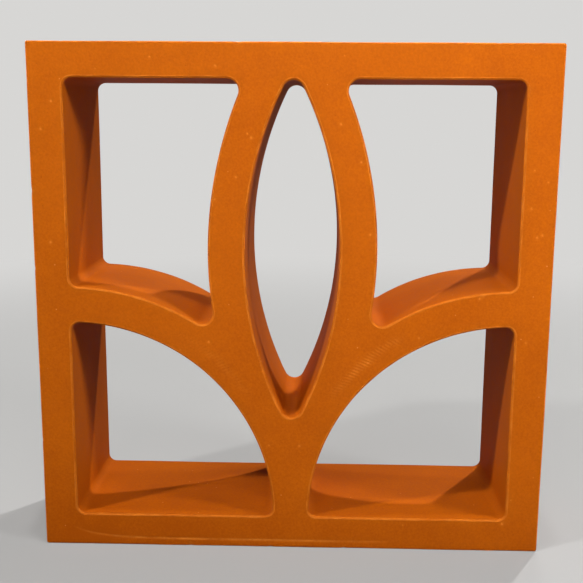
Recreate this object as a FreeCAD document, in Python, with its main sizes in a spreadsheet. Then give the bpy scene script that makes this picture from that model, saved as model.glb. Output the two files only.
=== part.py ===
import FreeCAD, Part
import enum
import math
import os
import Sketcher

# Decorative screen block of fired clay, one piece. A square frame holds a tulip drawn in arcs:
# two leaves spring from a short stem, and a bud of two petals stands over them. Five openings
# run straight through the depth, and their edges are bevelled on the front and on the back.
# X is the width, Y the depth with the front at -Y, and Z is up from the bed face.

doc = FreeCAD.newDocument("screen_block_model")

# Driving dimensions in millimetres. Walls are measured between the straight walls of the openings.
DRIVING_SIZES = (
    ("block_width", 200, "outside width"),
    ("block_height", 200, "outside height"),
    ("block_depth", 60, "front face to back face"),
    ("frame_wall", 13.75, "outside face to the wall of an opening"),
    ("rib_wall", 15, "thickness of a leaf, of a petal and of the stem"),
    ("lens_width", 36, "widest part of the opening inside the bud"),
    ("lens_foot", 52.8, "bed face to the lower point of that opening, before rounding"),
    ("lens_head", 10.4, "upper point of that opening, before rounding, to the top face"),
    ("frame_corner_radius", 3, "corners of the side openings on the frame and at the stem's foot"),
    ("petal_corner_radius", 4, "corners of the side openings against a petal"),
    ("tip_radius", 3, "upper and lower point of the opening inside the bud"),
    ("lip_bevel", 1.25, "bevelled edge of each opening, front and back"),
    ("edge_radius", 0.7, "rounded outside edges of the block"),
)
sheet = doc.addObject("Spreadsheet::Sheet", "Sizes")
for row, (alias, millimetres, meaning) in enumerate(DRIVING_SIZES, start=1):
    sheet.set(f"A{row}", meaning)
    sheet.set(f"B{row}", str(millimetres))
    sheet.setAlias(f"B{row}", alias)
doc.recompute()

# The frame's inside lines: distances from the middle of the width and from the bed face.
INNER_SIDE = "(Sizes.block_width / 2 - Sizes.frame_wall)"
INNER_FLOOR = "Sizes.frame_wall"
INNER_CEILING = "(Sizes.block_height - Sizes.frame_wall)"

# A leaf lies between two arcs about the frame's inner bottom corner. The under arc stops half a
# stem short of the middle.
LEAF_UNDER_RADIUS = f"({INNER_SIDE} - Sizes.rib_wall / 2)"
LEAF_TOP_RADIUS = f"({LEAF_UNDER_RADIUS} + Sizes.rib_wall)"

# A petal lies between two arcs about one centre across the middle. The inner arc has the lens's
# length for its chord and half the lens's width for its rise.
LENS_TOP = "(Sizes.block_height - Sizes.lens_head)"
LENS_LENGTH = f"({LENS_TOP} - Sizes.lens_foot)"
PETAL_INNER_RADIUS = f"({LENS_LENGTH} * {LENS_LENGTH} / Sizes.lens_width + Sizes.lens_width) / 4"
PETAL_OUTER_RADIUS = f"{PETAL_INNER_RADIUS} + Sizes.rib_wall"
PETAL_CENTRE_SIDE = f"{PETAL_INNER_RADIUS} - Sizes.lens_width / 2"
PETAL_CENTRE_HEIGHT = f"({LENS_TOP} + Sizes.lens_foot) / 2"

body = doc.addObject("PartDesign::Body", "screen_block")
body.Label = "screen_block"
body.Placement = FreeCAD.Placement()

NEAR = 0.001


class Point(enum.IntEnum):
    """How a sketch numbers the points of a line or an arc."""

    START = 1
    END = 2
    CENTRE = 3


class Axis(enum.IntEnum):
    """How a sketch numbers its own two axes, which start at its origin."""

    LEVEL = -1
    UPRIGHT = -2


ORIGIN = (Axis.LEVEL, Point.START)


def value(expression):
    """Present value of a size expression, in millimetres."""
    return float(body.evalExpression(expression))


def origin_plane(role):
    """One of the block's own reference planes."""
    return next(plane for plane in body.Origin.OriginFeatures if plane.Role == role)


def elevation_sketch(name):
    """A sketch on the plane halfway through the depth, with x across and y up."""
    sketch = body.newObject("Sketcher::SketchObject", name)
    sketch.AttachmentSupport = [(origin_plane("XZ_Plane"), "")]
    sketch.MapMode = "FlatFace"
    return sketch


def add_line(sketch, start, end):
    """A straight edge between two points, and its number in the sketch."""
    return sketch.addGeometry(Part.LineSegment(start, end), False)


def add_arc(sketch, centre, start, end):
    """A round edge about a centre, anticlockwise from start to end, and its number."""
    first = math.atan2(start.y - centre.y, start.x - centre.x)
    last = math.atan2(end.y - centre.y, end.x - centre.x)
    circle = Part.Circle(centre, FreeCAD.Vector(0, 0, 1), centre.distanceToPoint(start))
    return sketch.addGeometry(Part.ArcOfCircle(circle, first, last), False)


def relate(sketch, kind, *elements):
    """A constraint without a size, such as two ends that meet or an upright line."""
    sketch.addConstraint(Sketcher.Constraint(kind, *elements))


def dimension(sketch, name, kind, elements, expression):
    """A named constraint whose size follows an expression over the sheet."""
    index = sketch.addConstraint(Sketcher.Constraint(kind, *elements, value(expression)))
    sketch.renameConstraint(index, name)
    sketch.setExpression(f"Constraints.{name}", expression)


def place(sketch, name, element, end, across, up):
    """Two named dimensions that place one end of an element from the sketch's origin."""
    dimension(sketch, f"{name}_across", "DistanceX", (*ORIGIN, element, end), across)
    dimension(sketch, f"{name}_up", "DistanceY", (*ORIGIN, element, end), up)


def draw_outline():
    """The block's square outline, standing on the origin and even about the upright axis."""
    half_width = value("Sizes.block_width / 2")
    top = value("Sizes.block_height")
    corners = [
        FreeCAD.Vector(-half_width, 0),
        FreeCAD.Vector(half_width, 0),
        FreeCAD.Vector(half_width, top),
        FreeCAD.Vector(-half_width, top),
    ]
    sketch = elevation_sketch("outline")
    sides = [add_line(sketch, corners[n - 1], corners[n]) for n in range(len(corners))]
    left, bottom, right, upper = sides
    for n, side in enumerate(sides):
        relate(sketch, "Coincident", sides[n - 1], Point.END, side, Point.START)
    for side in (left, right):
        relate(sketch, "Vertical", side)
    for side in (bottom, upper):
        relate(sketch, "Horizontal", side)
    relate(sketch, "Symmetric", bottom, Point.START, bottom, Point.END, *ORIGIN)
    dimension(sketch, "width", "DistanceX", (bottom, Point.START, bottom, Point.END), "Sizes.block_width")
    dimension(sketch, "height", "DistanceY", (right, Point.START, right, Point.END), "Sizes.block_height")
    return sketch


def petal_leaf_corner(petal_centre, leaf_centre):
    """The point where the outside of a petal meets the top of a leaf."""
    petal_radius = value(PETAL_OUTER_RADIUS)
    leaf_radius = value(LEAF_TOP_RADIUS)
    between = leaf_centre - petal_centre
    span = between.Length
    turn = math.acos((petal_radius**2 + span**2 - leaf_radius**2) / (2 * petal_radius * span))
    bearing = math.atan2(between.y, between.x) + turn
    return petal_centre + FreeCAD.Vector(math.cos(bearing), math.sin(bearing)) * petal_radius


def draw_opening_beside_petal(sketch):
    """The opening between the frame's upper corner, the petal and the top of the leaf."""
    frame_corner = FreeCAD.Vector(value(INNER_SIDE), value(INNER_CEILING))
    leaf_centre = FreeCAD.Vector(value(INNER_SIDE), value(INNER_FLOOR))
    petal_centre = FreeCAD.Vector(-value(PETAL_CENTRE_SIDE), value(PETAL_CENTRE_HEIGHT))
    rise = frame_corner.y - petal_centre.y
    reach = math.sqrt(value(PETAL_OUTER_RADIUS) ** 2 - rise**2)
    petal_head = FreeCAD.Vector(petal_centre.x + reach, frame_corner.y)
    petal_foot = petal_leaf_corner(petal_centre, leaf_centre)
    leaf_end = leaf_centre + FreeCAD.Vector(0, value(LEAF_TOP_RADIUS))

    ceiling = add_line(sketch, petal_head, frame_corner)
    side = add_line(sketch, frame_corner, leaf_end)
    leaf = add_arc(sketch, leaf_centre, leaf_end, petal_foot)
    petal = add_arc(sketch, petal_centre, petal_foot, petal_head)
    edges = [ceiling, side, leaf, petal]
    for n, edge in enumerate(edges):
        relate(sketch, "Coincident", edges[n - 1], Point.END, edge, Point.START)
    relate(sketch, "Horizontal", ceiling)
    relate(sketch, "Vertical", side)
    place(sketch, "frame_corner", side, Point.START, INNER_SIDE, INNER_CEILING)
    place(sketch, "leaf_top_centre", leaf, Point.CENTRE, INNER_SIDE, INNER_FLOOR)
    place(sketch, "petal_centre", petal, Point.CENTRE, f"-({PETAL_CENTRE_SIDE})", PETAL_CENTRE_HEIGHT)
    dimension(sketch, "leaf_top_radius", "Radius", (leaf,), LEAF_TOP_RADIUS)
    dimension(sketch, "petal_outer_radius", "Radius", (petal,), PETAL_OUTER_RADIUS)


def draw_opening_under_leaf(sketch):
    """The quarter round between the frame's lower corner, the leaf and the stem."""
    corner = FreeCAD.Vector(value(INNER_SIDE), value(INNER_FLOOR))
    leaf_end = corner + FreeCAD.Vector(0, value(LEAF_UNDER_RADIUS))
    stem_foot = corner - FreeCAD.Vector(value(LEAF_UNDER_RADIUS), 0)

    side = add_line(sketch, corner, leaf_end)
    leaf = add_arc(sketch, corner, leaf_end, stem_foot)
    floor = add_line(sketch, stem_foot, corner)
    edges = [side, leaf, floor]
    for n, edge in enumerate(edges):
        relate(sketch, "Coincident", edges[n - 1], Point.END, edge, Point.START)
    relate(sketch, "Coincident", leaf, Point.CENTRE, side, Point.START)
    relate(sketch, "Vertical", side)
    relate(sketch, "Horizontal", floor)
    place(sketch, "lower_corner", side, Point.START, INNER_SIDE, INNER_FLOOR)
    dimension(sketch, "leaf_under_radius", "Radius", (leaf,), LEAF_UNDER_RADIUS)


def draw_lens():
    """The pointed opening inside the bud, two equal arcs that meet on the upright axis."""
    side = value(PETAL_CENTRE_SIDE)
    middle = value(PETAL_CENTRE_HEIGHT)
    foot = FreeCAD.Vector(0, value("Sizes.lens_foot"))
    head = FreeCAD.Vector(0, value(LENS_TOP))
    sketch = elevation_sketch("lens")
    right = add_arc(sketch, FreeCAD.Vector(-side, middle), foot, head)
    left = add_arc(sketch, FreeCAD.Vector(side, middle), head, foot)
    relate(sketch, "Coincident", right, Point.END, left, Point.START)
    relate(sketch, "Coincident", left, Point.END, right, Point.START)
    relate(sketch, "PointOnObject", right, Point.START, Axis.UPRIGHT)
    relate(sketch, "PointOnObject", right, Point.END, Axis.UPRIGHT)
    relate(sketch, "Equal", right, left)
    dimension(sketch, "foot", "DistanceY", (*ORIGIN, right, Point.START), "Sizes.lens_foot")
    dimension(sketch, "head", "DistanceY", (*ORIGIN, right, Point.END), LENS_TOP)
    dimension(sketch, "petal_inner_radius", "Radius", (right,), PETAL_INNER_RADIUS)
    return sketch


def cut_through(name, sketch):
    """Cut a sketch's openings right through the depth, both ways from the middle."""
    pocket = body.newObject("PartDesign::Pocket", name)
    pocket.Profile = sketch
    pocket.Type = "ThroughAll"
    pocket.SideType = "Symmetric"
    return pocket


def dress_edges(name, kind, size_name, size, chosen):
    """Round or bevel every edge of the block so far that the chosen test takes."""
    doc.recompute()
    base = body.Tip
    edges = enumerate(base.Shape.Edges, start=1)
    names = [f"Edge{number}" for number, edge in edges if chosen(edge)]
    dressing = body.newObject(kind, name)
    dressing.Base = (base, names)
    dressing.setExpression(size_name, size)
    body.Tip = dressing


def round_edges(name, radius, chosen):
    """Round the chosen edges."""
    dress_edges(name, "PartDesign::Fillet", "Radius", radius, chosen)


def bevel_edges(name, width, chosen):
    """Bevel the chosen edges, as wide on the one face as on the other."""
    dress_edges(name, "PartDesign::Chamfer", "Size", width, chosen)


def belongs_to_opening(edge):
    """True for an edge that lies clear of the block's outside faces."""
    box = edge.BoundBox
    clear_across = max(-box.XMin, box.XMax) < value("Sizes.block_width / 2") - NEAR
    return clear_across and box.ZMin > NEAR and box.ZMax < value("Sizes.block_height") - NEAR


def is_corner(edge):
    """True for a corner of an opening that runs the whole depth."""
    return belongs_to_opening(edge) and abs(edge.BoundBox.YLength - value("Sizes.block_depth")) < NEAR


def is_lens_tip(edge):
    """True for the upper and the lower point of the lens."""
    return is_corner(edge) and abs(edge.CenterOfMass.x) < NEAR


def is_frame_corner(edge):
    """True for a corner on the frame's side or on its floor."""
    on_side = abs(abs(edge.CenterOfMass.x) - value(INNER_SIDE)) < NEAR
    on_floor = abs(edge.CenterOfMass.z - value(INNER_FLOOR)) < NEAR
    return is_corner(edge) and (on_side or on_floor)


def is_petal_corner(edge):
    """True for a corner where a petal meets the frame's ceiling or a leaf."""
    return is_corner(edge) and not is_frame_corner(edge) and not is_lens_tip(edge)


def is_lip(edge):
    """True for an opening's edge on the front or on the back face."""
    from_middle = abs(edge.CenterOfMass.y)
    return belongs_to_opening(edge) and abs(from_middle - value("Sizes.block_depth / 2")) < NEAR


def is_outside(edge):
    """True for the block's own twelve edges."""
    return not belongs_to_opening(edge)


# The solid block, even about the middle of its depth.
slab = body.newObject("PartDesign::Pad", "slab")
slab.Profile = draw_outline()
slab.SideType = "Symmetric"
slab.setExpression("Length", "Sizes.block_depth")

# The openings: the lens, then the pair on the right, then their mirror images on the left.
lens_cut = cut_through("lens_cut", draw_lens())
side_openings = elevation_sketch("side_openings")
draw_opening_beside_petal(side_openings)
draw_opening_under_leaf(side_openings)
right_cut = cut_through("right_cut", side_openings)
left_cut = body.newObject("PartDesign::Mirrored", "left_cut")
left_cut.Originals = [right_cut]
left_cut.MirrorPlane = (origin_plane("YZ_Plane"), [""])
body.Tip = left_cut
doc.recompute()

# Each cut has to take clay away, and the pierced block has to be one section carried through.
stages = [slab, lens_cut, right_cut, left_cut]
for before, after in zip(stages, stages[1:]):
    if after.Shape.Volume > before.Shape.Volume - NEAR:
        raise RuntimeError(f"{after.Name} cut nothing")
front_face = min(left_cut.Shape.Faces, key=lambda face: face.CenterOfMass.y)
section_volume = front_face.Area * value("Sizes.block_depth")
if abs(section_volume / left_cut.Shape.Volume - 1) > NEAR:
    raise RuntimeError("an opening does not run right through")

# The corners and edges that the mould leaves: corners first, then the lips, then the outside.
round_edges("frame_corners", "Sizes.frame_corner_radius", is_frame_corner)
round_edges("petal_corners", "Sizes.petal_corner_radius", is_petal_corner)
round_edges("lens_tips", "Sizes.tip_radius", is_lens_tip)
bevel_edges("lips", "Sizes.lip_bevel", is_lip)
round_edges("outside_edges", "Sizes.edge_radius", is_outside)
doc.recompute()

for item in doc.Objects:
    if "Invalid" in item.State or "Error" in item.State:
        raise RuntimeError(f"{item.Name} failed: {item.State}")
if body.Shape.isNull() or not body.Shape.isValid():
    raise RuntimeError(f"{body.Label} is not a sound solid")

os.makedirs("parts", exist_ok=True)
body.Shape.exportStep(f"parts/{body.Label}.step")
print(f"{body.Label}: {body.Shape.Volume / 1000:.1f} cubic centimetres, {len(body.Shape.Faces)} faces")
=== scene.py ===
import bpy
import math
import numpy as np
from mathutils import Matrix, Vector
from mathutils.geometry import delaunay_2d_cdt


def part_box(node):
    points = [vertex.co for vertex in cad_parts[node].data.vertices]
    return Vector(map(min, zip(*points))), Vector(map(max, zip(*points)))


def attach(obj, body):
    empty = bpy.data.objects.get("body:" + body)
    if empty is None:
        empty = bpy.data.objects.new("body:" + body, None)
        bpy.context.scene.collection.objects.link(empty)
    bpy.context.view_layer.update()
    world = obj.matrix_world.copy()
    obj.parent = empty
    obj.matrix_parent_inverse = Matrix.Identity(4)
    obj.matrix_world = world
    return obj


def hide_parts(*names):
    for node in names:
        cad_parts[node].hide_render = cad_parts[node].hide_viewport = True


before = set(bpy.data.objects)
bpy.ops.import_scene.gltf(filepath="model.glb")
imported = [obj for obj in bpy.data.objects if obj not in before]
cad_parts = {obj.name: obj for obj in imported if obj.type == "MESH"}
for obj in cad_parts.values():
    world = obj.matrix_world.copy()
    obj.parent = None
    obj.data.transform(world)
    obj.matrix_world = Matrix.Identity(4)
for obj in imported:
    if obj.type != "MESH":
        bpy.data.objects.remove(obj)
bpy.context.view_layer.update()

# The block's plan. It is one piece of fired clay: a square frame round a tulip of two leaves and two
# petals. Five openings are pressed straight through it, so each keeps one outline from front to back.
MM = 0.001
block_low, block_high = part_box("screen_block")
HALF_WIDTH = (block_high.x - block_low.x) / 2
HALF_DEPTH = (block_high.y - block_low.y) / 2
HEIGHT = block_high.z - block_low.z
FRAME_WALL = 13.75 * MM
RIB_WALL = 15 * MM
LENS_WIDTH = 36 * MM
LENS_FOOT = 50.8 * MM
LENS_HEAD = 9.4 * MM
FRAME_CORNER = 3 * MM
PETAL_CORNER = 4 * MM
LENS_TIP = 4 * MM
OUTER_CORNER = 0.9 * MM

INNER_SIDE = HALF_WIDTH - FRAME_WALL
CEILING = HEIGHT - FRAME_WALL
LEAF_CENTRE = (INNER_SIDE, FRAME_WALL)
LEAF_UNDER = INNER_SIDE - RIB_WALL / 2
LEAF_TOP = LEAF_UNDER + RIB_WALL
LENS_TOP = HEIGHT - LENS_HEAD
PETAL_INNER = ((LENS_TOP - LENS_FOOT) ** 2 / LENS_WIDTH + LENS_WIDTH) / 4
PETAL_OUTER = PETAL_INNER + RIB_WALL
PETAL_CENTRE = (LENS_WIDTH / 2 - PETAL_INNER, (LENS_TOP + LENS_FOOT) / 2)

OUTLINE_STEP = 1.25 * MM
CORNER_STEP = 0.5 * MM
SOLVER_STEPS = 12


class StraightSide:
    """A straight side of an opening. A point's gap is its distance from the line, on the open side."""

    def __init__(self, point, inward):
        self.point = np.array(point, float)
        self.normal = np.array(inward, float)

    def gap(self, places):
        """Way from a point of the line to each place, measured along the line's normal."""
        return (places - self.point) @ self.normal

    def inward(self, places):
        """The line's normal, the same at every place."""
        return np.broadcast_to(self.normal, places.shape)

    def run(self, start, end, step):
        """Even shares of the way from start to end."""
        count = max(2, round(np.linalg.norm(end - start) / step))
        share = np.arange(count)[:, None] / count
        return start + share * (end - start)


class RoundSide:
    """A side of an opening on a circle, open inside it or outside it. The gap is measured from the circle."""

    def __init__(self, centre, radius, open_inside):
        self.centre = np.array(centre, float)
        self.radius = radius
        self.sign = 1 if open_inside else -1

    def gap(self, places):
        """Radius less the distance from the centre, with its sign turned for a side open outside."""
        return self.sign * (self.radius - np.linalg.norm(places - self.centre, axis=-1))

    def inward(self, places):
        """Unit way along the radius, towards the centre for a side open inside and away from it otherwise."""
        away = places - self.centre
        return -self.sign * away / np.linalg.norm(away, axis=-1, keepdims=True)

    def run(self, start, end, step):
        """Even shares of the angle from start to end, the short way round."""
        first = math.atan2(*(start - self.centre)[::-1])
        last = math.atan2(*(end - self.centre)[::-1])
        sweep = math.remainder(last - first, math.tau)
        count = max(2, round(abs(sweep) * self.radius / step))
        angle = first + sweep * np.arange(count) / count
        return self.centre + self.radius * np.stack([np.cos(angle), np.sin(angle)], axis=1)


def corner_centre(side, following, radius, near):
    """Centre of a corner's rounding, the point one radius from both sides. From a point near it, each step
    solves for the move that would close both gaps along their slopes."""
    centre = np.array(near, float)
    for _ in range(SOLVER_STEPS):
        miss = np.array([side.gap(centre), following.gap(centre)]) - radius
        slopes = np.array([side.inward(centre), following.inward(centre)])
        centre = centre - np.linalg.solve(slopes, miss)
    return centre


def rounded_outline(sides, corners):
    """Points anticlockwise round an opening, with the way out of the opening at each. Each side runs
    from where it leaves one corner's rounding to where it meets the next, and then the rounding follows."""
    following = sides[1:] + sides[:1]
    radii = [radius for radius, near in corners]
    centres = [corner_centre(a, b, *corner) for a, b, corner in zip(sides, following, corners)]
    places = []
    outward = []
    for n, side in enumerate(sides):
        start = centres[n - 1] - radii[n - 1] * side.inward(centres[n - 1])
        end = centres[n] - radii[n] * side.inward(centres[n])
        turned = centres[n] - radii[n] * following[n].inward(centres[n])
        rounding = RoundSide(centres[n], radii[n], open_inside=True)
        for stretch, points in (
            (side, side.run(start, end, OUTLINE_STEP)),
            (rounding, rounding.run(end, turned, CORNER_STEP)),
        ):
            places.append(points)
            outward.append(-stretch.inward(points))
    return np.concatenate(places), np.concatenate(outward)


def mirrored(outline):
    """The same outline on the other side of the middle, still anticlockwise."""
    flip = np.array([-1, 1])
    return tuple(part[::-1] * flip for part in outline)


ceiling_side = StraightSide((0, CEILING), (0, -1))
frame_side = StraightSide((INNER_SIDE, 0), (-1, 0))
floor_side = StraightSide((0, FRAME_WALL), (0, 1))
leaf_top_side = RoundSide(LEAF_CENTRE, LEAF_TOP, open_inside=False)
leaf_under_side = RoundSide(LEAF_CENTRE, LEAF_UNDER, open_inside=True)
petal_outer_side = RoundSide(PETAL_CENTRE, PETAL_OUTER, open_inside=False)
lens_right_side = RoundSide(PETAL_CENTRE, PETAL_INNER, open_inside=True)
lens_left_side = RoundSide((-PETAL_CENTRE[0], PETAL_CENTRE[1]), PETAL_INNER, open_inside=True)

beside_petal_sides = [ceiling_side, petal_outer_side, leaf_top_side, frame_side]
under_leaf_sides = [leaf_under_side, floor_side, frame_side]
lens_sides = [lens_right_side, lens_left_side]
beside_petal = rounded_outline(
    beside_petal_sides,
    [
        (PETAL_CORNER, (RIB_WALL, CEILING)),
        (PETAL_CORNER, (2 * RIB_WALL, LEAF_TOP)),
        (FRAME_CORNER, (INNER_SIDE, FRAME_WALL + LEAF_TOP)),
        (FRAME_CORNER, (INNER_SIDE, CEILING)),
    ],
)
under_leaf = rounded_outline(
    under_leaf_sides,
    [
        (FRAME_CORNER, (RIB_WALL / 2, FRAME_WALL)),
        (FRAME_CORNER, LEAF_CENTRE),
        (FRAME_CORNER, (INNER_SIDE, FRAME_WALL + LEAF_UNDER)),
    ],
)
lens = rounded_outline(lens_sides, [(LENS_TIP, (0, LENS_TOP)), (LENS_TIP, (0, LENS_FOOT))])
openings = [lens, beside_petal, mirrored(beside_petal), under_leaf, mirrored(under_leaf)]

outer_sides = [
    StraightSide((0, 0), (0, 1)),
    StraightSide((HALF_WIDTH, 0), (-1, 0)),
    StraightSide((0, HEIGHT), (0, -1)),
    StraightSide((-HALF_WIDTH, 0), (1, 0)),
]
outer_corners = [
    (OUTER_CORNER, (HALF_WIDTH, 0)),
    (OUTER_CORNER, (HALF_WIDTH, HEIGHT)),
    (OUTER_CORNER, (-HALF_WIDTH, HEIGHT)),
    (OUTER_CORNER, (-HALF_WIDTH, 0)),
]
outer_outline = rounded_outline(outer_sides, outer_corners)

# The walls. The mould leaves each opening with a straight wall, dressed back a little, and a thin softened
# bevel, the lip, on the front and on the back. The outside has plain sides with worn round arrises.
LIP_BEVEL = 0.8 * MM
OPENING_SETBACK = 0.3 * MM
LIP_ROUNDNESS = 1.15
ARRIS = 0.45 * MM
ARRIS_ROUNDNESS = 2
FACE_MARGIN = 0.25 * MM
ARRIS_ROWS = 7
ROW_CROWDING = 0.9
WALL_ROWS = 10
# Lips and arrises show paler along their creases: partly real wear, partly a painted highlight.
LIP_EDGE_WEAR_AND_HIGHLIGHT = 0.95
LIP_WEAR_AND_HIGHLIGHT_LOST = 0.75
ARRIS_WEAR_AND_HIGHLIGHT = 8

arris_share = np.linspace(0, 1, ARRIS_ROWS)
lip_wear_and_highlight = LIP_EDGE_WEAR_AND_HIGHLIGHT - LIP_WEAR_AND_HIGHLIGHT_LOST * np.sqrt(arris_share)
arris_wear_and_highlight = np.minimum(1, ARRIS_WEAR_AND_HIGHLIGHT * arris_share * (1 - arris_share))


def arris_curve(size, roundness):
    """Quarter of a superellipse from the face to the wall, as distances into the clay and from the face:
    what each lacks of the size, as a share of it raised to the roundness, adds up to one. A roundness of
    one is a bevel, two a round.
    Its points crowd towards both ends, by a sine taken off their even shares, to keep the creases crisp."""
    turn = arris_share - ROW_CROWDING * np.sin(math.tau * arris_share) / math.tau
    turn = turn * math.pi / 2
    into_clay = size * (1 - np.sin(turn) ** (2 / roundness))
    from_face = size * (1 - np.abs(np.cos(turn)) ** (2 / roundness))
    return into_clay, from_face


def wall_section(size, roundness, setback, paler_wear_and_highlight):
    """Section of a wall from the front face to the back one: a strip of the face, the arris, the straight
    wall, and the same in reverse, as distances into the clay, depths and wear with a painted highlight.
    The setback moves it all into the clay."""
    into_clay, from_face = arris_curve(size, roundness)
    half_in = np.concatenate([[size + FACE_MARGIN], into_clay]) + setback
    half_deep = np.concatenate([[0], from_face]) - HALF_DEPTH
    half_wear_and_highlight = np.concatenate([[0], paler_wear_and_highlight])
    reach = HALF_DEPTH - size - FACE_MARGIN
    straight = np.linspace(-reach, reach, WALL_ROWS)
    bare = np.zeros(WALL_ROWS)
    return (
        np.concatenate([half_in, bare + setback, half_in[::-1]]),
        np.concatenate([half_deep, straight, -half_deep[::-1]]),
        np.concatenate([half_wear_and_highlight, bare, half_wear_and_highlight[::-1]]),
    )


def carried(section, places, into_clay):
    """A wall section carried round an outline: each point moves into the clay and back by the section."""
    inset, depth, wear_and_highlight = section
    flat = places[None] + inset[:, None, None] * into_clay[None]
    deep = np.broadcast_to(depth[:, None], flat.shape[:2])
    grid = np.stack([flat[..., 0], deep, flat[..., 1]], axis=-1)
    return grid, np.broadcast_to(wear_and_highlight[:, None], flat.shape[:2])


def ring_quads(numbers):
    """Four-sided faces between the rows of a grid whose rows are closed rings, facing the ring's inside."""
    beside = np.roll(numbers, -1, axis=1)
    corners = [numbers[:-1], beside[:-1], beside[1:], numbers[1:]]
    return np.stack(corners, axis=-1).reshape(-1, 4)


lip_section = wall_section(LIP_BEVEL, LIP_ROUNDNESS, OPENING_SETBACK, lip_wear_and_highlight)
outer_section = wall_section(ARRIS, ARRIS_ROUNDNESS, 0, arris_wear_and_highlight)
outer_places, outer_outward = outer_outline
walls = [carried(outer_section, outer_places, -outer_outward)]
walls += [carried(lip_section, places, outward) for places, outward in openings]

block_points = []
block_wear_and_highlight = []
block_faces = []
front_rings = []
back_rings = []
point_count = 0
for number, (grid, wear_and_highlight) in enumerate(walls):
    numbers = point_count + np.arange(wear_and_highlight.size).reshape(wear_and_highlight.shape)
    point_count += wear_and_highlight.size
    quads = ring_quads(numbers)
    # The first wall is the outside, and its faces are turned to look outwards.
    block_faces += (quads if number else quads[:, ::-1]).tolist()
    block_points.append(grid.reshape(-1, 3))
    block_wear_and_highlight.append(wear_and_highlight.ravel())
    front_rings.append(numbers[0])
    back_rings.append(numbers[-1])

# The front and back faces. They are struck off flat with a straight edge while the clay is soft. On the
# front a trowel has left a faint ribbed trace along each leaf, a scored line near the foot, and pits.
FRONT_SPACING = 1.25 * MM
BACK_SPACING = 1.9 * MM
POINT_CLEARANCE = 0.6 * MM
CLEAR_OF_LIP = OPENING_SETBACK + LIP_BEVEL + FACE_MARGIN + POINT_CLEARANCE
CLEAR_OF_OUTSIDE = ARRIS + FACE_MARGIN + POINT_CLEARANCE
INSIDE_LOOPS = 1
SAME_POINT = 1e-6
TRACE_RADIUS = (LEAF_UNDER + LEAF_TOP) / 2
TRACE_ANGLES = (math.radians(34), math.radians(62))
TRACE_OFFSETS = np.linspace(-2.4, 2.4, 9) * MM
TRACE_STEP = 0.3 * MM
SCORE_START = -88.7 * MM
SCORE_END = 42 * MM
SCORE_HEIGHT = 3.1 * MM
SCORE_RISE = 4.8 * MM
SCORE_BEND = 9 * MM
SCORE_OFFSETS = np.linspace(-0.7, 0.7, 5) * MM
SCORE_STEP = 0.8 * MM
PIT_SEED = 41
PIT_COUNT = 26
PIT_TRIES = 6 * PIT_COUNT
PIT_RADII = (0.3 * MM, 0.55 * MM)
PIT_RINGS = np.array([0.5, 1, 1.6])
PIT_RING_POINTS = 8
SEEN_PITS = np.array([(-95.2, 167.7), (-53.4, 194.4), (-73.8, 190.0), (-21.5, 150.2), (49.6, 88.5)]) * MM


def opening_gap(places):
    """How far points lie inside the nearest opening, by its unrounded sides, or minus how far outside.
    The left half is folded over onto the right one."""
    folded = np.abs(places)
    inside = [
        np.min([side.gap(folded) for side in sides], axis=0)
        for sides in (lens_sides, beside_petal_sides, under_leaf_sides)
    ]
    return np.max(inside, axis=0)


def on_clay(places):
    """The points that lie on the face, clear of the lips and of the outside."""
    across = HALF_WIDTH - np.abs(places[:, 0])
    up = HEIGHT / 2 - np.abs(places[:, 1] - HEIGHT / 2)
    clear = np.minimum(across, up) > CLEAR_OF_OUTSIDE
    return places[clear & (opening_gap(places) < -CLEAR_OF_LIP)]


def even_points(spacing):
    """Points of a triangular pattern, every second row moved along by half a spacing."""
    across = np.arange(-HALF_WIDTH, HALF_WIDTH, spacing)
    up = np.arange(0, HEIGHT, spacing * math.sqrt(3) / 2)
    x, z = np.meshgrid(across, up)
    x = x + spacing / 2 * (np.arange(len(up)) % 2)[:, None]
    return np.stack([x.ravel(), z.ravel()], axis=1)


def score_height(x):
    """Height of the scored line: it drops from the left, ever more slowly, to run level along the foot."""
    return SCORE_HEIGHT + SCORE_RISE * np.exp(-(x - SCORE_START) / SCORE_BEND)


def trace_points():
    """Points along the trowel's trace on both leaves, arcs about the leaf's centre side by side."""
    angles = np.arange(*TRACE_ANGLES, TRACE_STEP / TRACE_RADIUS)
    radii = TRACE_RADIUS + TRACE_OFFSETS
    x = INNER_SIDE - np.outer(np.cos(angles), radii).ravel()
    z = FRAME_WALL + np.outer(np.sin(angles), radii).ravel()
    return np.concatenate([np.stack([x, z], axis=1), np.stack([-x, z], axis=1)])


def score_points():
    """Points along the scored line and a little to each side of it."""
    x, offset = np.meshgrid(np.arange(SCORE_START, SCORE_END, SCORE_STEP), SCORE_OFFSETS)
    return np.stack([x.ravel(), (score_height(x) + offset).ravel()], axis=1)


def pit_points(centres, radii):
    """The middle of each pit and rings of points about it, set out in shares of its radius."""
    angle = np.linspace(0, math.tau, PIT_RING_POINTS, endpoint=False)
    ring = np.stack([np.cos(angle), np.sin(angle)], axis=1)
    spokes = PIT_RINGS[:, None, None] * ring
    spokes = np.concatenate([np.zeros((1, 2)), spokes.reshape(-1, 2)])
    return (centres[:, None] + radii[:, None, None] * spokes).reshape(-1, 2)


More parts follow.
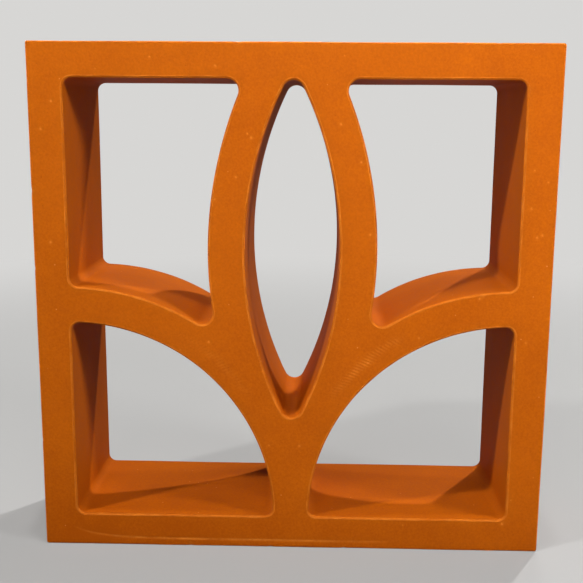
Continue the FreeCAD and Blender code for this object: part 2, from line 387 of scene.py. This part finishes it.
def struck_face(rings, y, filling, outward_sign):
    """A flat face between the outer ring and the openings' rings, in triangles over its points. Those that
    lie inside the outer loop and inside no opening's loop are kept."""
    own = np.concatenate(block_points)
    flat = np.concatenate([own[np.concatenate(rings)][:, [0, 2]], filling])
    numbers = np.concatenate(rings + [len(own) + np.arange(len(filling))])
    ends = np.cumsum([len(ring) for ring in rings])
    loops = [list(range(end - len(ring), end)) for ring, end in zip(rings, ends)]
    _, _, faces, _, _, face_loops = delaunay_2d_cdt(
        (flat / MM).tolist(), [], loops, INSIDE_LOOPS, SAME_POINT, True
    )
    triangles = np.array([face for face, inside in zip(faces, face_loops) if inside == [0]])
    block_points.append(np.insert(filling, 1, y, axis=1))
    block_wear_and_highlight.append(np.zeros(len(filling)))
    return numbers[triangles][:, ::outward_sign].tolist()


pit_draw = np.random.default_rng(PIT_SEED)
scattered = on_clay(pit_draw.uniform((-HALF_WIDTH, 0), (HALF_WIDTH, HEIGHT), (PIT_TRIES, 2)))
pit_centres = np.concatenate([SEEN_PITS, scattered[:PIT_COUNT]])
pit_radii = pit_draw.uniform(*PIT_RADII, len(pit_centres))
front_filling = np.concatenate(
    [even_points(FRONT_SPACING), trace_points(), score_points(), pit_points(pit_centres, pit_radii)]
)
block_faces += struck_face(front_rings, -HALF_DEPTH, on_clay(front_filling), 1)
block_faces += struck_face(back_rings, HALF_DEPTH, on_clay(even_points(BACK_SPACING)), -1)

block_mesh = bpy.data.meshes.new("clay_block")
block_mesh.from_pydata(np.concatenate(block_points), [], block_faces)
block_mesh.update()
clay_block = bpy.data.objects.new("clay_block", block_mesh)
bpy.context.scene.collection.objects.link(clay_block)

# The clay's own unevenness. Drying and firing leave the walls a little wavy and the lips irregular, and
# handling chips the arrises. Every mark lies below the nominal surface, so the block keeps its size.
WAVE_LENGTH = 55 * MM
WAVE_DEPTH = 0.14 * MM
WAVE_SEED = 1
RUMPLE_LENGTH = 13 * MM
RUMPLE_DEPTH = 0.035 * MM
RUMPLE_SEED = 2
LIP_WANDER_LENGTH = 8 * MM
LIP_WANDER_DEPTH = 0.08 * MM
LIP_WANDER_SEED = 3
TRACE_DEPTH = 0.3 * MM
TRACE_WIDTH = 1.7 * MM
TRACE_RIB = 1.35 * MM
TRACE_SLANT = 0.5
TRACE_LEAST = 0.3
TRACE_PATCH = 5 * MM
TRACE_SEED = 9
LEFT_TRACE_SHARE = 0.5
SCORE_DEPTH = 0.12 * MM
SCORE_WIDTH = 0.4 * MM
PIT_DEPTH_SHARE = 0.4
FIELD_WAVES = 14
FIELD_LENGTHS = (0.7, 1.6)
CHIP_SEED = 7
CHIP_COUNT = 30
CHIP_RADII = (0.4 * MM, 1.2 * MM)
CHIP_DEPTH_SHARE = 0.2
CHIPPED_WEAR = 0.7
FRONT_REACH = 1 * MM
CHIP_RUB = 0.5 * MM
PIT_RUB = 0.2 * MM
TRACE_RUB = 0.35 * MM
SCORE_RUB = 0.9


def uneven(points, length, seed):
    """A smooth random field about a half, held between nought and one: plane waves of about one length,
    each in its own direction and phase, added up."""
    draw = np.random.default_rng(seed)
    direction = draw.normal(size=(FIELD_WAVES, points.shape[1]))
    direction /= np.linalg.norm(direction, axis=1, keepdims=True)
    lengths = length * draw.uniform(*FIELD_LENGTHS, FIELD_WAVES)
    phase = draw.uniform(0, math.tau, FIELD_WAVES)
    waves = np.sin(points @ (direction / lengths[:, None]).T * math.tau + phase)
    return np.clip(0.5 + waves.sum(axis=1) / (2 * math.sqrt(2 * FIELD_WAVES)), 0, 1)


def hollows(points, centres, radii, depths):
    """Round hollows: at each point the deepest of the bells that fall off with the square of the distance."""
    depth = np.zeros(len(points))
    for centre, radius, full in zip(centres, radii, depths):
        away = ((points - centre) ** 2).sum(axis=1)
        depth = np.maximum(depth, full * np.exp(-away / radius**2))
    return depth


def trowel_trace(x, z):
    """Ribs along the middle arc of a leaf: a slanted sine along it, times a hump that falls to nought at
    both ends, a bell to both sides and an uneven pressing."""
    across = INNER_SIDE - np.abs(x)
    up = z - FRAME_WALL
    radius = np.hypot(across, up)
    angle = np.arctan2(up, across)
    middle = sum(TRACE_ANGLES) / 2
    reach = (TRACE_ANGLES[1] - TRACE_ANGLES[0]) / 2
    along = np.clip(1 - ((angle - middle) / reach) ** 2, 0, 1)
    beside = np.exp(-(((radius - TRACE_RADIUS) / TRACE_WIDTH) ** 2))
    way = angle * TRACE_RADIUS + TRACE_SLANT * (radius - TRACE_RADIUS)
    ribs = (1 + np.sin(math.tau * way / TRACE_RIB)) / 2
    side = np.where(x > 0, 1, LEFT_TRACE_SHARE)
    pressed = uneven(np.stack([x, z], axis=1), TRACE_PATCH, TRACE_SEED)
    return TRACE_DEPTH * side * along * beside * ribs * (TRACE_LEAST + (1 - TRACE_LEAST) * pressed)


def scored_line(x, z):
    """A groove along the scored line: a bell across it, times a half ellipse along it from end to end."""
    share = (x - SCORE_START) / (SCORE_END - SCORE_START)
    along = np.sqrt(np.clip(4 * share * (1 - share), 0, 1))
    return SCORE_DEPTH * along * np.exp(-(((z - score_height(x)) / SCORE_WIDTH) ** 2))


nominal = np.concatenate(block_points)
wear_and_highlight = np.concatenate(block_wear_and_highlight)
normals = np.empty(nominal.size, np.float32)
block_mesh.vertex_normals.foreach_get("vector", normals)
normals = normals.reshape(-1, 3).astype(float)

chip_draw = np.random.default_rng(CHIP_SEED)
chipped = chip_draw.choice(np.flatnonzero(wear_and_highlight > CHIPPED_WEAR), CHIP_COUNT, replace=False)
chip_radii = chip_draw.uniform(*CHIP_RADII, CHIP_COUNT)
chip_depth = hollows(nominal, nominal[chipped], chip_radii, CHIP_DEPTH_SHARE * chip_radii)
front = nominal[:, 1] < -HALF_DEPTH + FRONT_REACH
pit_places = np.insert(pit_centres, 1, -HALF_DEPTH, axis=1)
pit_depth = hollows(nominal, pit_places, pit_radii, PIT_DEPTH_SHARE * pit_radii)
trace_depth = front * trowel_trace(nominal[:, 0], nominal[:, 2])
score_depth = front * scored_line(nominal[:, 0], nominal[:, 2])
below = (
    WAVE_DEPTH * uneven(nominal, WAVE_LENGTH, WAVE_SEED)
    + RUMPLE_DEPTH * uneven(nominal, RUMPLE_LENGTH, RUMPLE_SEED)
    + LIP_WANDER_DEPTH * wear_and_highlight * uneven(nominal, LIP_WANDER_LENGTH, LIP_WANDER_SEED)
    + chip_depth
    + pit_depth
    + trace_depth
    + score_depth
)
block_mesh.vertices.foreach_set("co", (nominal - normals * below[:, None]).astype(np.float32).ravel())
block_mesh.polygons.foreach_set("use_smooth", np.ones(len(block_mesh.polygons), bool))
# The paler share at each point: real wear, chips, pits, the trace and the scored line, and along the lips and
# arrises also a painted highlight.
wear_and_highlight_attribute = block_mesh.attributes.new("wear_and_highlight", "FLOAT", "POINT")
rubbing_and_highlight = wear_and_highlight + chip_depth / CHIP_RUB + pit_depth / PIT_RUB
rubbing_and_highlight += trace_depth / TRACE_RUB + SCORE_RUB * score_depth / SCORE_DEPTH
wear_and_highlight_attribute.data.foreach_set("value", np.clip(rubbing_and_highlight, 0, 1).astype(np.float32))
block_mesh.update()

# The fired clay itself. It is a bright orange earthenware, matt and unglazed, with fine sand and a little
# crushed grog in it. Rubbed lips and arrises show paler, partly from real wear and partly as a painted
# highlight along their creases. The colour clouds softly from the kiln, and the foot is darkened a little
# as painted shade for the dimmer light near the floor.
DEEP_ORANGE = (0.44, 0.084, 0.002, 1)
LIGHT_ORANGE = (0.60, 0.135, 0.004, 1)
RUBBED_AND_HIGHLIT_ORANGE = (0.80, 0.26, 0.03, 1)
PALE_GROG = (0.80, 0.30, 0.08, 1)
DARK_GROG = (0.30, 0.045, 0.004, 1)
CLOUD_LENGTH, CLOUD_DETAIL = 60 * MM, 3
MOTTLE_LENGTH, MOTTLE_DETAIL = 9 * MM, 4
SAND_LENGTH, SAND_DETAIL = 0.8 * MM, 3
RUB_AND_HIGHLIGHT_LENGTH, RUB_AND_HIGHLIGHT_DETAIL = 5 * MM, 4
NOISE_SPAN = (0.3, 0.7)
SAND_SPAN = (0.25, 0.75)
RUB_AND_HIGHLIGHT_SPAN = (0.35, 0.65)
CLOUD_TONE = (0, 0.35)
MOTTLE_TONE = (0, 0.2)
SAND_TONE = (-0.05, 0.5)
RUB_AND_HIGHLIGHT_SHARE = (0.25, 0.85)
# Painted shade: the colour darkens towards the foot, standing in for the dimmer light near the floor.
FOOT_SHADE_HEIGHT = 35 * MM
FOOT_PAINTED_SHADE = 0.4
PALE_GROG_LENGTH = 4.2 * MM
PALE_GROG_KEPT = 0.22
PALE_GROG_SIZE = 0.085
PALE_GROG_SHARE = 0.6
DARK_GROG_LENGTH = 3.1 * MM
DARK_GROG_KEPT = 0.15
DARK_GROG_SIZE = 0.1
DARK_GROG_SHARE = 0.45
SAND_ROUGHNESS = (0.55, 0.7)
MOTTLE_ROUGHNESS = (0, 0.06)
DIFFUSE_ROUGHNESS = 0.25
SPECULAR_LEVEL = 0.03
MOTTLE_TOOTH = 0.6
SPECK_TOOTH = 0.4
TOOTH_STRENGTH = 0.5
TOOTH_HEIGHT = 0.12 * MM
MIX_FIRST, MIX_SECOND, MIX_RESULT = 6, 7, 2  # a Mix node's colour sockets

clay = bpy.data.materials.new("fired_clay")
clay.use_nodes = True
clay_nodes = clay.node_tree.nodes
clay_links = clay.node_tree.links
clay_shader = clay_nodes["Principled BSDF"]
clay_place = clay_nodes.new("ShaderNodeTexCoord").outputs["Object"]


def clay_noise(length, detail):
    """Cloudy noise of about one length in the clay's own coordinates: its scale is one over the length."""
    noise = clay_nodes.new("ShaderNodeTexNoise")
    noise.inputs["Scale"].default_value = 1 / length
    noise.inputs["Detail"].default_value = detail
    clay_links.new(clay_place, noise.inputs["Vector"])
    return noise.outputs["Fac"]


def stretched(value, span, new_span=(0, 1)):
    """A value's span drawn out to a new one, and held at its ends."""
    stretch = clay_nodes.new("ShaderNodeMapRange")
    for name, number in zip(("From Min", "From Max", "To Min", "To Max"), span + new_span):
        stretch.inputs[name].default_value = number
    clay_links.new(value, stretch.inputs["Value"])
    return stretch.outputs["Result"]


def combined(operation, first, second):
    """Two values put together. The second may be a plain number."""
    both = clay_nodes.new("ShaderNodeMath")
    both.operation = operation
    clay_links.new(first, both.inputs[0])
    if isinstance(second, (int, float)):
        both.inputs[1].default_value = second
    else:
        clay_links.new(second, both.inputs[1])
    return both.outputs["Value"]


def blended(share, first, second):
    """One colour over another by a share. Either may be a plain colour."""
    blend = clay_nodes.new("ShaderNodeMix")
    blend.data_type = "RGBA"
    clay_links.new(share, blend.inputs["Factor"])
    for socket, colour in ((blend.inputs[MIX_FIRST], first), (blend.inputs[MIX_SECOND], second)):
        if isinstance(colour, tuple):
            socket.default_value = colour
        else:
            clay_links.new(colour, socket)
    return blend.outputs[MIX_RESULT]


def grog_specks(length, kept, size):
    """Round specks, one at most in each cell of about one length, in the given share of the cells. A speck
    is full within half its size and fades out at its size, both in shares of the cell."""
    cells = clay_nodes.new("ShaderNodeTexVoronoi")
    cells.inputs["Scale"].default_value = 1 / length
    clay_links.new(clay_place, cells.inputs["Vector"])
    chance = clay_nodes.new("ShaderNodeSeparateColor")
    clay_links.new(cells.outputs["Color"], chance.inputs["Color"])
    chosen = combined("LESS_THAN", chance.outputs["Red"], kept)
    return combined("MULTIPLY", stretched(cells.outputs["Distance"], (size, size / 2)), chosen)


cloud = clay_noise(CLOUD_LENGTH, CLOUD_DETAIL)
mottle = clay_noise(MOTTLE_LENGTH, MOTTLE_DETAIL)
sand = clay_noise(SAND_LENGTH, SAND_DETAIL)
tone = combined("ADD", stretched(cloud, NOISE_SPAN, CLOUD_TONE), stretched(mottle, NOISE_SPAN, MOTTLE_TONE))
tone = combined("ADD", tone, stretched(sand, SAND_SPAN, SAND_TONE))
height = clay_nodes.new("ShaderNodeSeparateXYZ")
clay_links.new(clay_place, height.inputs["Vector"])
# Painted shade: darker towards the foot.
tone = combined("ADD", tone, stretched(height.outputs["Z"], (0, FOOT_SHADE_HEIGHT), (-FOOT_PAINTED_SHADE, 0)))
clay_colour = blended(tone, DEEP_ORANGE, LIGHT_ORANGE)
pale_specks = grog_specks(PALE_GROG_LENGTH, PALE_GROG_KEPT, PALE_GROG_SIZE)
dark_specks = grog_specks(DARK_GROG_LENGTH, DARK_GROG_KEPT, DARK_GROG_SIZE)
clay_colour = blended(combined("MULTIPLY", dark_specks, DARK_GROG_SHARE), clay_colour, DARK_GROG)
clay_colour = blended(combined("MULTIPLY", pale_specks, PALE_GROG_SHARE), clay_colour, PALE_GROG)
# Paler where worn, and along the lips and arrises a painted highlight as well.
paler_wear_and_highlight = clay_nodes.new("ShaderNodeAttribute")
paler_wear_and_highlight.attribute_name = "wear_and_highlight"
rub_and_highlight_patches = stretched(clay_noise(RUB_AND_HIGHLIGHT_LENGTH, RUB_AND_HIGHLIGHT_DETAIL), RUB_AND_HIGHLIGHT_SPAN, RUB_AND_HIGHLIGHT_SHARE)
rubbed_and_highlit = combined("MULTIPLY", paler_wear_and_highlight.outputs["Fac"], rub_and_highlight_patches)
clay_colour = blended(rubbed_and_highlit, clay_colour, RUBBED_AND_HIGHLIT_ORANGE)
clay_links.new(clay_colour, clay_shader.inputs["Base Color"])

sand_roughness = stretched(sand, NOISE_SPAN, SAND_ROUGHNESS)
mottle_roughness = stretched(mottle, NOISE_SPAN, MOTTLE_ROUGHNESS)
clay_links.new(combined("ADD", sand_roughness, mottle_roughness), clay_shader.inputs["Roughness"])
clay_shader.inputs["Diffuse Roughness"].default_value = DIFFUSE_ROUGHNESS
clay_shader.inputs["Specular IOR Level"].default_value = SPECULAR_LEVEL

tooth = combined("ADD", combined("MULTIPLY", mottle, MOTTLE_TOOTH), sand)
tooth = combined("SUBTRACT", tooth, combined("MULTIPLY", dark_specks, SPECK_TOOTH))
clay_bump = clay_nodes.new("ShaderNodeBump")
clay_bump.inputs["Strength"].default_value = TOOTH_STRENGTH
clay_bump.inputs["Distance"].default_value = TOOTH_HEIGHT
clay_links.new(tooth, clay_bump.inputs["Height"])
clay_links.new(clay_bump.outputs["Normal"], clay_shader.inputs["Normal"])

block_mesh.materials.append(clay)
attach(clay_block, "root")
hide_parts("screen_block")

# The studio floor. A wide round sheet of pale paper under the block, which takes its shadow. Further out
# it melts into the paper behind. To bounced light it is darker, so that the openings stay deep inside.
FLOOR_RADIUS = 6.0
FLOOR_RINGS = 24
FLOOR_SPOKES = 64
FLOOR_HUB = 0.02
PAPER_LIT = (0.32, 0.317, 0.31, 1)
PAPER_SEEN = (0.68, 0.673, 0.66, 1)
PAPER_BOUNCED = (0.09, 0.089, 0.087, 1)
NEAR_GLOW = 0.3
MELT_START = 0.25
MELT_END = 0.8


def disc(radius, rings, spokes):
    """A flat disc: rings of points about the middle, at the radius times the square of even shares, with
    quads between them."""
    reach = radius * np.linspace(FLOOR_HUB, 1, rings) ** 2
    angle = np.linspace(0, math.tau, spokes, endpoint=False)
    x = np.outer(reach, np.cos(angle))
    y = np.outer(reach, np.sin(angle))
    points = np.stack([x, y, np.zeros_like(x)], axis=-1)
    numbers = np.arange(rings * spokes).reshape(rings, spokes)
    hub = [numbers[0].tolist()]
    return points.reshape(-1, 3), hub + ring_quads(numbers)[:, ::-1].tolist()


floor_points, floor_faces = disc(FLOOR_RADIUS, FLOOR_RINGS, FLOOR_SPOKES)
floor_mesh = bpy.data.meshes.new("studio_floor")
floor_mesh.from_pydata(floor_points, [], floor_faces)
studio_floor = bpy.data.objects.new("studio_floor", floor_mesh)
bpy.context.scene.collection.objects.link(studio_floor)

paper = bpy.data.materials.new("pale_paper")
paper.use_nodes = True
paper_nodes = paper.node_tree.nodes
paper_links = paper.node_tree.links
paper_nodes.remove(paper_nodes["Principled BSDF"])


def seen_directly(nodes, links):
    """One for rays that show the paper to the camera, straight, mirrored or through glass, else nought."""
    path = nodes.new("ShaderNodeLightPath")
    straight_or_mirrored = nodes.new("ShaderNodeMath")
    straight_or_mirrored.operation = "MAXIMUM"
    links.new(path.outputs["Is Camera Ray"], straight_or_mirrored.inputs[0])
    links.new(path.outputs["Is Glossy Ray"], straight_or_mirrored.inputs[1])
    either = nodes.new("ShaderNodeMath")
    either.operation = "MAXIMUM"
    links.new(straight_or_mirrored.outputs["Value"], either.inputs[0])
    links.new(path.outputs["Is Transmission Ray"], either.inputs[1])
    return either.outputs["Value"]


paper_seen = seen_directly(paper_nodes, paper_links)
paper_colour = paper_nodes.new("ShaderNodeMix")
paper_colour.data_type = "RGBA"
paper_colour.inputs[MIX_FIRST].default_value = PAPER_BOUNCED
paper_colour.inputs[MIX_SECOND].default_value = PAPER_LIT
paper_links.new(paper_seen, paper_colour.inputs["Factor"])
paper_diffuse = paper_nodes.new("ShaderNodeBsdfDiffuse")
paper_links.new(paper_colour.outputs[MIX_RESULT], paper_diffuse.inputs["Color"])
paper_glow = paper_nodes.new("ShaderNodeEmission")
paper_glow.inputs["Color"].default_value = PAPER_SEEN
paper_place = paper_nodes.new("ShaderNodeTexCoord")
paper_distance = paper_nodes.new("ShaderNodeVectorMath")
paper_distance.operation = "LENGTH"
paper_links.new(paper_place.outputs["Object"], paper_distance.inputs[0])
paper_melt = paper_nodes.new("ShaderNodeMapRange")
paper_melt.interpolation_type = "SMOOTHSTEP"
paper_melt.inputs["From Min"].default_value = MELT_START
paper_melt.inputs["From Max"].default_value = MELT_END
paper_melt.inputs["To Min"].default_value = NEAR_GLOW
paper_links.new(paper_distance.outputs["Value"], paper_melt.inputs["Value"])
paper_share = paper_nodes.new("ShaderNodeMath")
paper_share.operation = "MULTIPLY"
paper_links.new(paper_melt.outputs["Result"], paper_share.inputs[0])
paper_links.new(paper_seen, paper_share.inputs[1])
paper_surface = paper_nodes.new("ShaderNodeMixShader")
paper_links.new(paper_share.outputs["Value"], paper_surface.inputs["Fac"])
paper_links.new(paper_diffuse.outputs["BSDF"], paper_surface.inputs[1])
paper_links.new(paper_glow.outputs["Emission"], paper_surface.inputs[2])
paper_links.new(paper_surface.outputs["Shader"], paper_nodes["Material Output"].inputs["Surface"])
floor_mesh.materials.append(paper)

# The studio light. A narrow beam and a high soft box light the front, with small boxes to the left and the
# right of it. One behind, high on the right, lights the floors of the openings. Two hang overhead, one just
# behind the block and one just in front, and light the edges of those floors.
BLOCK_MIDDLE = Vector((0, 0, HEIGHT / 2))
ROOM_LIGHT = (0.02, 0.02, 0.02, 1)
BEAM_AIM = (0.12, -0.03, 0.31)
BEAM_SPREAD = 34
OPEN_SPREAD = 180


def soft_box(name, place, aim, size, spread, watts):
    """A square lamp aimed at a point. A spread, in degrees, under a half turn is a grid on it."""
    lamp = bpy.data.lights.new(name, "AREA")
    lamp.size = size
    lamp.spread = math.radians(spread)
    lamp.energy = watts
    holder = bpy.data.objects.new(name, lamp)
    holder.location = place
    holder.rotation_euler = (Vector(aim) - Vector(place)).to_track_quat("-Z", "Y").to_euler()
    holder.visible_camera = False
    bpy.context.scene.collection.objects.link(holder)


soft_box("front_box", (0.03, -1.30, 0.30), BEAM_AIM, 0.30, BEAM_SPREAD, 0.56)
soft_box("high_front_box", (0.03, -0.75, 0.85), BLOCK_MIDDLE, 0.50, OPEN_SPREAD, 3.6)
soft_box("front_left_box", (-0.68, -0.45, 0.87), BLOCK_MIDDLE, 0.06, OPEN_SPREAD, 6.2)
soft_box("front_right_box", (0.80, -0.40, 0.50), BLOCK_MIDDLE, 0.16, OPEN_SPREAD, 4.2)
soft_box("back_right_box", (0.64, 0.90, 1.64), BLOCK_MIDDLE, 0.04, OPEN_SPREAD, 27)
soft_box("overhead_box", (0.15, 0.35, 1.86), BLOCK_MIDDLE, 0.07, OPEN_SPREAD, 6)
soft_box("overhead_front_box", (0.00, -0.12, 1.90), BLOCK_MIDDLE, 0.04, OPEN_SPREAD, 8)

world = bpy.data.worlds.new("studio")
bpy.context.scene.world = world
world.use_nodes = True
world_nodes = world.node_tree.nodes
world_links = world.node_tree.links
world_colour = world_nodes.new("ShaderNodeMix")
world_colour.data_type = "RGBA"
world_colour.inputs[MIX_FIRST].default_value = ROOM_LIGHT
world_colour.inputs[MIX_SECOND].default_value = PAPER_SEEN
world_links.new(seen_directly(world_nodes, world_links), world_colour.inputs["Factor"])
world_links.new(world_colour.outputs[MIX_RESULT], world_nodes["Background"].inputs["Color"])

# The camera. It stands a little right of the middle, below the block's top, and looks slightly down. Its
# place, angles and lens come from a fit of the block's front corners and the openings' back edges.
CAMERA_PLACE = (8.14 * MM, -380.04 * MM, 172.3 * MM)
CAMERA_TILT = 79.33
CAMERA_ROLL = -0.41
CAMERA_PAN = 1.44
CAMERA_LENS = 56.88
CAMERA_NEAR = 10 * MM

camera = bpy.data.cameras.new("camera")
camera.lens = CAMERA_LENS
camera.clip_start = CAMERA_NEAR
camera_holder = bpy.data.objects.new("camera", camera)
camera_holder.location = CAMERA_PLACE
camera_holder.rotation_euler = [math.radians(angle) for angle in (CAMERA_TILT, CAMERA_ROLL, CAMERA_PAN)]
bpy.context.scene.collection.objects.link(camera_holder)
bpy.context.scene.camera = camera_holder
bpy.context.scene.view_settings.view_transform = "Standard"
